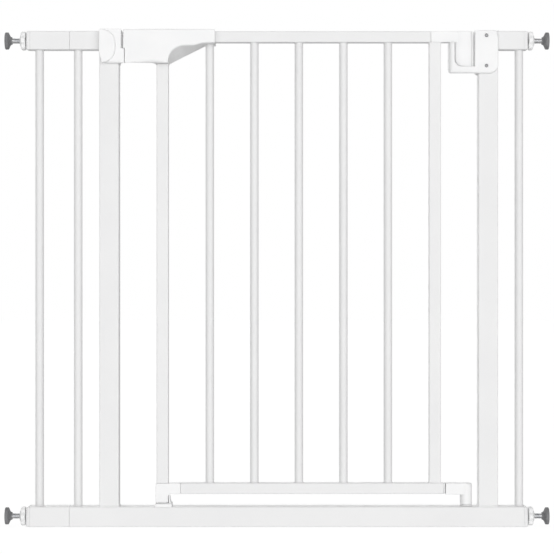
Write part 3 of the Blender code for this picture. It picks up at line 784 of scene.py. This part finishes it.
HANDLE_LEFT = span("handle_front_shell", "X")[0]
HANDLE_RIGHT = span("handle_front_shell", "X")[1]
HANDLE_BOTTOM = span("handle_front_shell", "Z")[0]
HANDLE_TOP = span("handle_front_shell", "Z")[1]
HANDLE_DEPTH = span("handle_rear_shell", "Y")[1]
HANDLE_WALL = 0.0025
HANDLE_STEP = HANDLE_LEFT + 0.0026  # the left end below the step that clears the receiver's jaw
SCOOP_START = (HANDLE_RIGHT - 0.0729, HANDLE_BOTTOM + 0.0016)
SCOOP_SIZE = (0.0248, 0.0251)
SCOOP_SLOPE = 0.5046  # the rise of the scoop's back edge for its run
LIP_START = SCOOP_START[0] + 0.0372
LIP_END = LIP_START + 0.0186
LIP_RISE = 0.0038
BACK_TOP = HANDLE_BOTTOM + 0.0301
BOTTOM_RISE = 0.0058
RISE_END = span("door_left_stile", "X")[0] - 0.0010


def underside():
    """The handle's lower edge from the finger scoop to its right end: x, z in front and z behind."""
    start_x, start_z = SCOOP_START
    front = []
    for turn in quarter(14):
        front.append((
            start_x + SCOOP_SIZE[0] * (1 - math.cos(turn)),
            start_z + SCOOP_SIZE[1] * math.sin(turn),
        ))
    level = front[-1][1]
    for k in range(1, 9):
        x = LIP_START + (LIP_END - LIP_START) * k / 8
        front.append((x, level + LIP_RISE * smooth_step(LIP_START, LIP_END, x)))
    front.append((HANDLE_RIGHT, level + LIP_RISE + 0.0006))
    return [(x, z, min(z, start_z + SCOOP_SLOPE * (x - start_x), BACK_TOP)) for x, z in front]


def handle_outline(share):
    """The handle's outline at a share of its depth, from 0 in front to 1 behind.

    Left of the stile its bottom rises towards the back.
    """
    lower = [(x, front + share * (back - front)) for x, front, back in underside()]
    raised = HANDLE_BOTTOM + BOTTOM_RISE * share
    return rounded([
        (HANDLE_STEP, raised, 0.0012),
        (RISE_END - 0.0060, raised, 0.0),
        (RISE_END, HANDLE_BOTTOM, 0.0),
        (lower[0][0], HANDLE_BOTTOM, 0.0010),
        *[(x, z, 0.0) for x, z in lower[:-1]],
        (*lower[-1], 0.0012),
        (HANDLE_RIGHT, HANDLE_TOP, 0.0030),
        (HANDLE_LEFT, HANDLE_TOP, 0.0020),
        (HANDLE_LEFT, JAW_TOP, 0.0004),
        (HANDLE_STEP, JAW_TOP, 0.0),
    ])


def handle_edge(x, z):
    """How far the handle's front and back edges are rounded: most along its lower edge."""
    if x > HANDLE_RIGHT - 0.0035:
        return 0.0016
    if z > HANDLE_TOP - 0.0035:
        return 0.0022
    if x < HANDLE_STEP + 0.0015:
        return 0.0009
    if z < HANDLE_BOTTOM + 0.0062 and x < SCOOP_START[0]:
        from_end = smooth_step(HANDLE_STEP, HANDLE_STEP + 0.0060, x)
        from_scoop = 1 - smooth_step(SCOOP_START[0] - 0.0070, SCOOP_START[0] - 0.0006, x)
        return 0.0009 + 0.0058 * from_end * from_scoop
    return 0.0009 + 0.0020 * smooth_step(HANDLE_BOTTOM, HANDLE_BOTTOM + 0.0200, z)


def latch_chamber():
    """The hollow round the latch, a wall's thickness inside the handle's outline at every depth."""
    wall = HANDLE_WALL
    floor = HANDLE_BOTTOM + BOTTOM_RISE + wall
    rib = SCOOP_START[0] + 0.0263
    lower = [(x - wall, front + wall) for x, front, _ in underside()]
    lower = [(x, z) for x, z in lower if x < rib - 0.0010 and z > floor + 0.0004]
    return [
        (HANDLE_STEP + wall, floor),
        (lower[0][0] - 0.0003, floor),
        *lower,
        (rib, lower[-1][1]),
        (rib, HANDLE_TOP - wall),
        (HANDLE_LEFT + wall, HANDLE_TOP - wall),
        (HANDLE_LEFT + wall, JAW_TOP + 0.0020),
        (HANDLE_STEP + wall, JAW_TOP + 0.0020),
    ]


def handle_tools():
    """What is cut through both shells: rail socket, bar hole, bolt window and slider slot."""
    half = HANDLE_DEPTH - HANDLE_WALL
    rail_low, rail_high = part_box("door_top_rail")
    bolt_low, bolt_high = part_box("latch_bolt")
    slider_low, slider_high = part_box("thumb_slider")
    stem_middle = (slider_low[0] + slider_high[0]) / 2 - 0.0090
    return [
        box((-0.1395, -half, rail_low[2] - GAP), (HANDLE_RIGHT - 0.0025, half, rail_high[2] + GAP)),
        box(
            (-0.1000, rail_low[1] - GAP, rail_low[2] - GAP),
            (-0.0900, rail_high[1] + GAP, rail_high[2] + GAP),
        ),
        cylinder(0.0073, 0.7300, 0.7600, "Z", (middle("door_rod_1", "X"), 0.0), 36),
        box(
            (-0.2400, bolt_low[1] - GAP, bolt_low[2] - GAP),
            (-0.2350, bolt_high[1] + GAP, bolt_high[2] + GAP),
        ),
        box((stem_middle - 0.0225, -0.0043, 0.7650), (stem_middle + 0.0225, 0.0043, 0.7750)),
    ]


def add_handle():
    depth = HANDLE_DEPTH
    hollow = depth - HANDLE_WALL
    split = GAP / 2
    front = slab(lambda t: handle_outline(t / 2), -depth, -split, "Y", handle_edge, 0.0004, 7)
    rear = slab(lambda t: handle_outline(0.5 + t / 2), split, depth, "Y", 0.0004, handle_edge, 7)
    front = cut(front, slab(latch_chamber(), -hollow, 0.0010, "Y"), *handle_tools())
    rear = cut(rear, slab(latch_chamber(), -0.0010, hollow, "Y"), *handle_tools())
    for k in (1, 2):
        node = f"handle_screw_{k}"
        centre = (middle(node, "X"), middle(node, "Z"))
        front = join(front, cylinder(0.0034, -hollow - 0.0010, -split, "Y", centre))
        front = cut(front, cylinder(0.0016, -0.0120, 0.0010, "Y", centre))
        rear = join(rear, cylinder(0.0034, split, hollow + 0.0010, "Y", centre))
        rear = cut(rear, cylinder(0.0018, -0.0010, 0.0300, "Y", centre))
        rear = cut(rear, cylinder(0.0032, 0.0195, 0.0300, "Y", centre))
    tongue_bottom = span("handle_rear_shell", "Z")[0]
    stile = middle("door_left_stile", "X")
    tongue_top = HANDLE_BOTTOM + 0.0010
    rear = join(rear, box((stile - 0.0067, 0.0010, tongue_bottom), (stile + 0.0067, 0.0066, tongue_top)))
    add_piece("handle_front_moulding", front, "plastic", "door", "handle_front_shell")
    add_piece("handle_rear_moulding", rear, "plastic", "door", "handle_rear_shell")


def add_latch():
    """Ribbed thumb slider, chamfered bolt and the spring between the bolt and the handle's rib."""
    low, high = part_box("thumb_slider")
    plate_bottom = HANDLE_TOP + GAP
    plate = slab(rectangle(low[:2], high[:2], 0.0050), plate_bottom, high[2], "Z", 0.0002, 0.0006, 4)
    parts = []
    for k in range(-6, 7):
        x = (low[0] + high[0]) / 2 + 0.0042 * k
        rib = rounded([(x - 0.0011, high[2] - 0.0006, 0.0), (x + 0.0011, high[2] - 0.0006, 0.0),
                       (x + 0.0008, high[2] + 0.0006, 0.0004), (x - 0.0008, high[2] + 0.0006, 0.0004)], 3)
        parts.append(slab(rib, -0.0062, 0.0062, "Y", 0.0003, 0.0003, 2))
    bolt_top = span("latch_bolt", "Z")[1]
    stem_middle = (low[0] + high[0]) / 2 - 0.0040
    stem_ends = (bolt_top + GAP, plate_bottom + 0.0005)
    stem = box((stem_middle - 0.0150, -0.0040, stem_ends[0]), (stem_middle + 0.0150, 0.0040, stem_ends[1]))
    slider = join(plate, stem, *parts)
    add_piece("thumb_slider_ribbed", slider, "plastic", "latch", "thumb_slider")

    face = rectangle(*across_box("latch_bolt", "X"), 0.0010)
    bolt = slab(face, *span("latch_bolt", "X"), "X", 0.0014, 0.0004)
    add_piece("latch_bolt_bar", bolt, "drawn", "latch", "latch_bolt")

    spring_low, spring_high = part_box("latch_spring")
    wire = 0.0005
    radius = (spring_high[2] - spring_low[2]) / 2 - wire
    height = (spring_high[2] + spring_low[2]) / 2
    start = spring_low[0] + wire
    length = spring_high[0] - spring_low[0] - 2 * wire
    turns = 7
    steps = turns * 28
    path = []
    for k in range(steps + 1):
        turn = 2 * math.pi * turns * k / steps
        along = start + length * k / steps
        path.append(Vector((along, radius * math.cos(turn), height + radius * math.sin(turn))))
    coil = swept(path, [wire] * len(path), False, 10)
    coil = add_piece("latch_spring_coil", coil, "zinc", None, "latch_spring")
    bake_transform(coil)


def add_door_foot():
    left, spigot_right = span("door_foot", "X")
    bottom, spigot_top = span("door_foot", "Z")
    bottom -= 0.0005
    right = left + 0.0385
    leg = left + 0.0195
    top = 0.0672
    arm = 0.0504
    outline = rounded([
        (left, bottom, 0.0010),
        (leg, bottom, 0.0010),
        (leg, arm, 0.0034),
        (right, arm, 0.0012),
        (right, top, 0.0016),
        (left, top, 0.0024),
    ])
    foot = join(
        slab(outline, -0.0095, 0.0095, "Y", 0.0011, 0.0011),
        spigot((right - 0.0020, -SPIGOT_HALF, 0.0524), (spigot_right, SPIGOT_HALF, 0.0660), "X"),
        spigot((left + 0.0031, -SPIGOT_HALF, 0.0655), (leg - 0.0012, SPIGOT_HALF, spigot_top), "Z"),
    )
    add_piece("door_foot_moulding", foot, "plastic", "door", "door_foot")


def add_hinge_knuckle():
    """The upper hinge moulding: an arm and a knuckle whose front bellies out from the left."""
    pivot = middle("upper_hinge_pin", "X")
    bottom, top = span("hinge_knuckle", "Z")
    left_reach = 0.0186
    bend = 0.0120

    def plan(left_share):
        """Flat in front, bellied to the left, within the circle that clears the bracket."""
        half = [(0.0058 + 0.0036 * math.sin(a), 0.0064 + 0.0036 * math.cos(a)) for a in quarter(6)[::-1]]
        half += [(-0.0040 - 0.0125 * k / 7, 0.0100 - 0.0022 * (k / 7) ** 2) for k in range(8)]
        lean = math.asin(0.0078 / left_reach)
        half += [(-left_reach * math.cos(lean * (1 - k / 4)), left_reach * math.sin(lean * (1 - k / 4)))
                 for k in range(1, 5)]
        outline = [(x, y) for x, y in half] + [(x, -y) for x, y in half[-2::-1]]
        return [(pivot + x * (left_share if x < 0 else 1.0), y) for x, y in outline]

    rings = []
    for angle in quarter(8):
        height = bottom + bend * (1 - math.cos(angle))
        share = (left_reach - bend * (1 - math.sin(angle))) / left_reach
        if height < top - 0.0010:
            outline = plan(share)
            edge = 0.0007 * (1 - smooth_step(bottom, bottom + 0.0008, height))
            rings.append([(x, y, height) for x, y in inset(outline, [edge] * len(outline))])
    for angle in quarter(5):
        outline = inset(plan(1.0), [0.0012 * (1 - math.cos(angle))] * len(plan(1.0)))
        rings.append([(x, y, top - 0.0012 + 0.0012 * math.sin(angle)) for x, y in outline])
    barrel = loft(rings)
    rail_end, rail_top = span("door_top_rail", "X")[1], span("door_top_rail", "Z")[1]
    spigot_left = span("hinge_knuckle", "X")[0]
    arm = rectangle((rail_end + GAP, 0.7523), (pivot - 0.0040, rail_top), 0.0010, 4)
    knuckle = join(
        barrel,
        slab(arm, -0.0088, 0.0088, "Y", 0.0010, 0.0010),
        spigot((spigot_left, -SPIGOT_HALF, 0.7536), (rail_end + 0.0020, SPIGOT_HALF, 0.7677), "X"),
        spigot((0.2393, -SPIGOT_HALF, 0.7350), (0.2529, SPIGOT_HALF, 0.7540), "Z"),
    )
    knuckle = cut(knuckle, cylinder(PIN_BORE, bottom - 0.0100, 0.7640, "Z", (pivot, 0.0)))
    add_piece("hinge_knuckle_moulding", knuckle, "plastic", "door", "hinge_knuckle")


def add_pivot_elbow():
    pivot = middle("lower_pivot_pin", "X")
    bottom, top = span("pivot_elbow", "Z")
    leg_radius = span("pivot_elbow", "X")[1] - pivot
    dome = 0.0030
    profile = [(bottom, leg_radius - 0.0004), (bottom + 0.0004, leg_radius)]
    for angle in quarter(6):
        profile.append((top - dome + dome * math.sin(angle), leg_radius - dome * (1 - math.cos(angle))))
    collar_left = span("pivot_ring", "X")[0]
    # The dark rubber seal is kept thin and recessed. Its width is set so that its dark tone paints the
    # shadow line of the groove between the white collar and the arm. The ring is rubber in the model, but
    # the darkness of the line is painted shade.
    groove_shade_seal = (collar_left + 0.0019, collar_left + 0.0026)
    arm_left = groove_shade_seal[1] + GAP
    arm = rounded([(arm_left, 0.0496, 0.0005), (pivot, 0.0496, 0.0),
                   (pivot, top, 0.0), (arm_left, top, 0.0005)])
    outer = rectangle(*across_box("pivot_ring", "X"), 0.0025)
    elbow = join(
        turned(profile, "Z", (pivot, 0.0)),
        slab(arm, -0.0088, 0.0088, "Y", 0.0012, 0.0012),
        spigot((span("pivot_elbow", "X")[0], -0.0068, 0.0530), (arm_left + 0.0020, 0.0068, 0.0654), "X"),
        slab(outer, collar_left, groove_shade_seal[0] - GAP / 3, "X", 0.0004, 0.0002, 3),
    )
    elbow = cut(elbow, cylinder(PIN_BORE, bottom - 0.0100, 0.0640, "Z", (pivot, 0.0)))
    add_piece("pivot_elbow_moulding", elbow, "plastic", "door", "pivot_elbow")
    # The seal's dark rubber paints the groove's shadow line.
    ring = bar_tube(inset(outer, [0.0004] * len(outer)), 0.0010, *groove_shade_seal, "X")
    add_piece("pivot_ring_seal_painting_groove_shade", ring, "rubber", "door", "pivot_ring")


def add_pins():
    for node in ("upper_hinge_pin", "lower_pivot_pin"):
        bottom, top = span(node, "Z")
        radius = (span(node, "X")[1] - span(node, "X")[0]) / 2
        profile = [(bottom, radius - 0.0004), (bottom + 0.0004, radius), (top - 0.0008, radius)]
        profile += [(top, radius - 0.0010)]
        pin = turned(profile, "Z", (middle(node, "X"), 0.0))
        add_piece(f"{node}_rod", pin, "drawn", "hinge_pins", node)


# Wall spindles

def threaded_rod(start, end, radius, side, height):
    """A rod with a right-hand thread about the way out, which fades out at both ends."""
    sides = 28
    count = round(abs(end - start) / (THREAD_PITCH / 8))
    rings = []
    for k in range(count + 1):
        x = start + (end - start) * k / count
        fade = smooth_step(0, 0.0012, abs(x - start)) * smooth_step(0, 0.0008, abs(end - x))
        ring = []
        for s in range(sides):
            turn = 2 * math.pi * s / sides
            phase = (side * (x / THREAD_PITCH - turn / (2 * math.pi))) % 1.0
            crest = smooth_step(0.10, 0.38, phase) - smooth_step(0.62, 0.90, phase)
            reach = radius - THREAD_DEPTH * (1 - crest * fade)
            ring.append((x, reach * math.cos(turn), height + reach * math.sin(turn)))
        rings.append(ring)
    return loft(rings)


def wall_pad(face, inner, radius, side, height):
    """A rubber foot with a dished back, a rounded rim and rings on the face that meets the wall."""
    back = [(0.0000, 0.0056), (0.0012, 0.0060), (0.0026, 0.0070), (0.0038, 0.0090), (0.0048, 0.0114)]
    profile = [(inner + side * depth, reach) for depth, reach in back]
    rim = 0.0010
    profile += [
        (inner + side * (0.0064 - rim * math.sin(a)), radius - rim * (1 - math.cos(a)))
        for a in quarter(4)[::-1]
    ]
    profile += [
        (face - side * 0.0010 * (1 - math.sin(a)), radius - 0.0009 * (1 - math.cos(a))) for a in quarter(4)
    ]
    for ring in (0.0108, 0.0082, 0.0056):
        profile += [(face, ring + 0.0006), (face - side * 0.0004, ring + 0.0002)]
        profile += [(face - side * 0.0004, ring - 0.0002), (face, ring - 0.0006)]
    return turned(profile, "X", (0.0, height), 64)


def hand_nut(start, side, height):
    """A white nut with lobes to grip, a stepped face and a bore, in (along, radius, depth of the lobes)."""
    sections = [
        (0.0000, 0.0130, 0.3), (0.0004, 0.0142, 0.8), (0.0012, 0.0151, 1.0), (0.0022, 0.0153, 1.0),
        (0.0052, 0.0153, 1.0), (0.0064, 0.0148, 1.0), (0.0072, 0.0136, 0.7), (0.0076, 0.0118, 0.3),
        (0.0077, 0.0098, 0.0), (0.0079, 0.0088, 0.0), (0.0090, 0.0080, 0.0), (0.0092, 0.0074, 0.0),
        (0.0092, 0.0052, 0.0), (0.0089, 0.0046, 0.0), (0.0003, 0.0046, 0.0), (0.0000, 0.0052, 0.0),
    ]
    sides = 12 * NUT_LOBES
    rings = []
    for along, radius, waves in sections:
        ring = []
        for s in range(sides):
            turn = 2 * math.pi * s / sides
            valley = (0.5 - 0.5 * math.cos(NUT_LOBES * turn)) ** 1.6
            reach = radius - 0.0021 * waves * valley
            ring.append((start + side * along, reach * math.cos(turn), height + reach * math.sin(turn)))
        rings.append(ring)
    return loft(rings, closed=True)


def add_spindles():
    for which, _, side in CORNERS:
        height = middle(f"spindle_{which}", "Z")
        ends = sorted(span(f"spindle_{which}", "X"), key=abs)
        radius = half_width(f"spindle_{which}", "Y")
        rod = threaded_rod(*ends, radius, side, height)
        add_piece(f"threaded_rod_{which}", rod, "zinc", f"spindle_{which}", f"spindle_{which}")
        pad_inner, pad_face = sorted(span(f"wall_pad_{which}", "X"), key=abs)
        pad = wall_pad(pad_face, pad_inner, half_width(f"wall_pad_{which}", "Y"), side, height)
        bore = (pad_inner - side * 0.002, ends[1] + side * GAP)
        pad = cut(pad, cylinder(radius - THREAD_DEPTH, *bore, "X", (0.0, height)))
        add_piece(f"rubber_pad_{which}", pad, "rubber", f"spindle_{which}", f"wall_pad_{which}")
        nut_start = sorted(span(f"adjusting_nut_{which}", "X"), key=abs)[0]
        nut = hand_nut(nut_start, side, height)
        add_piece(f"hand_nut_{which}", nut, "plastic", f"nut_{which}", f"adjusting_nut_{which}")


def finish_hidden_nodes():
    """CAD nodes that keep their own meshes, inside the tubes, are painted with them."""
    for node in ("extension_plug_top", "extension_plug_bottom"):
        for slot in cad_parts[node].material_slots:
            slot.material = FINISHES["paint"][1]


# Studio

def add_sun(name, towards, energy, angle):
    light = bpy.data.lights.new(name, "SUN")
    light.energy = energy
    light.angle = math.radians(angle)
    lamp = bpy.data.objects.new(name, light)
    lamp.rotation_euler = Vector(towards).to_track_quat("-Z", "Y").to_euler()
    bpy.context.scene.collection.objects.link(lamp)


def add_world(seen, ambient):
    """White where the camera sees it, and an even grey light on the object."""
    world = bpy.data.worlds.new("studio")
    bpy.context.scene.world = world
    world.use_nodes = True
    tree = world.node_tree
    backdrop = tree.nodes["Background"]
    backdrop.inputs["Color"].default_value = (1.0, 1.0, 1.0, 1.0)
    backdrop.inputs["Strength"].default_value = seen
    lighting = tree.nodes.new("ShaderNodeBackground")
    lighting.inputs["Color"].default_value = (1.0, 1.0, 1.0, 1.0)
    lighting.inputs["Strength"].default_value = ambient
    path = tree.nodes.new("ShaderNodeLightPath")
    mix = tree.nodes.new("ShaderNodeMixShader")
    tree.links.new(path.outputs["Is Camera Ray"], mix.inputs["Fac"])
    tree.links.new(lighting.outputs["Background"], mix.inputs[1])
    tree.links.new(backdrop.outputs["Background"], mix.inputs[2])
    tree.links.new(mix.outputs["Shader"], tree.nodes["World Output"].inputs["Surface"])


def add_floor():
    """A plain pale floor that the camera sees, with only a faint contact shadow."""
    half = 14.0
    mesh = bmesh.new()
    corners = rectangle((-half, -half), (half, half), 0.0)
    mesh.faces.new([mesh.verts.new((x, y, -0.0004)) for x, y in corners])
    data = bpy.data.meshes.new("floor")
    mesh.to_mesh(data)
    mesh.free()
    material = bpy.data.materials.new("pale_floor")
    material.use_nodes = True
    shader = material.node_tree.nodes["Principled BSDF"]
    shader.inputs["Base Color"].default_value = (0.16, 0.16, 0.16, 1.0)
    shader.inputs["Roughness"].default_value = 1.0
    shader.inputs["Specular IOR Level"].default_value = 0.0
    shader.inputs["Emission Color"].default_value = (1.0, 1.0, 1.0, 1.0)
    shader.inputs["Emission Strength"].default_value = 0.90
    data.materials.append(material)
    floor = bpy.data.objects.new("floor", data)
    floor.visible_diffuse = False
    floor.visible_glossy = False
    bpy.context.scene.collection.objects.link(floor)


def add_camera():
    """Square on to the front, at the middle of the gate's height."""
    distance = 3.0
    seen_width = 0.8626
    camera_data = bpy.data.cameras.new("camera")
    camera_data.sensor_width = 36.0
    camera_data.lens = 36.0 * distance / seen_width
    camera = bpy.data.objects.new("camera", camera_data)
    camera.location = (0.0, -distance, 0.3876)
    camera.rotation_euler = (math.pi / 2, 0.0, 0.0)
    bpy.context.scene.collection.objects.link(camera)
    bpy.context.scene.camera = camera


def main():
    add_camera()
    add_world(1.0, 0.46)
    add_sun("right_softbox", (-0.50, 1.0, -0.12), 1.05, 60)
    add_sun("left_softbox", (0.34, 1.0, -0.02), 0.85, 60)
    add_sun("low_softbox", (0.0, 0.8, 0.8), 0.45, 70)
    add_sun("top_softbox", (0.0, 0.15, -1.0), 0.16, 70)
    add_sun("back_softbox", (0.35, -1.0, -0.35), 0.90, 60)
    add_floor()

    add_rails_and_posts()
    add_door_tubes()
    add_rods()
    add_welds()
    add_end_caps()
    add_latch_receiver()
    add_hinge_bracket()
    add_screws()
    add_foot_catch()
    add_pivot_socket()
    add_handle()
    add_latch()
    add_door_foot()
    add_hinge_knuckle()
    add_pivot_elbow()
    add_pins()
    add_spindles()
    finish_hidden_nodes()

    view = bpy.context.scene.view_settings
    view.view_transform = "Standard"
    view.look = "None"


main()
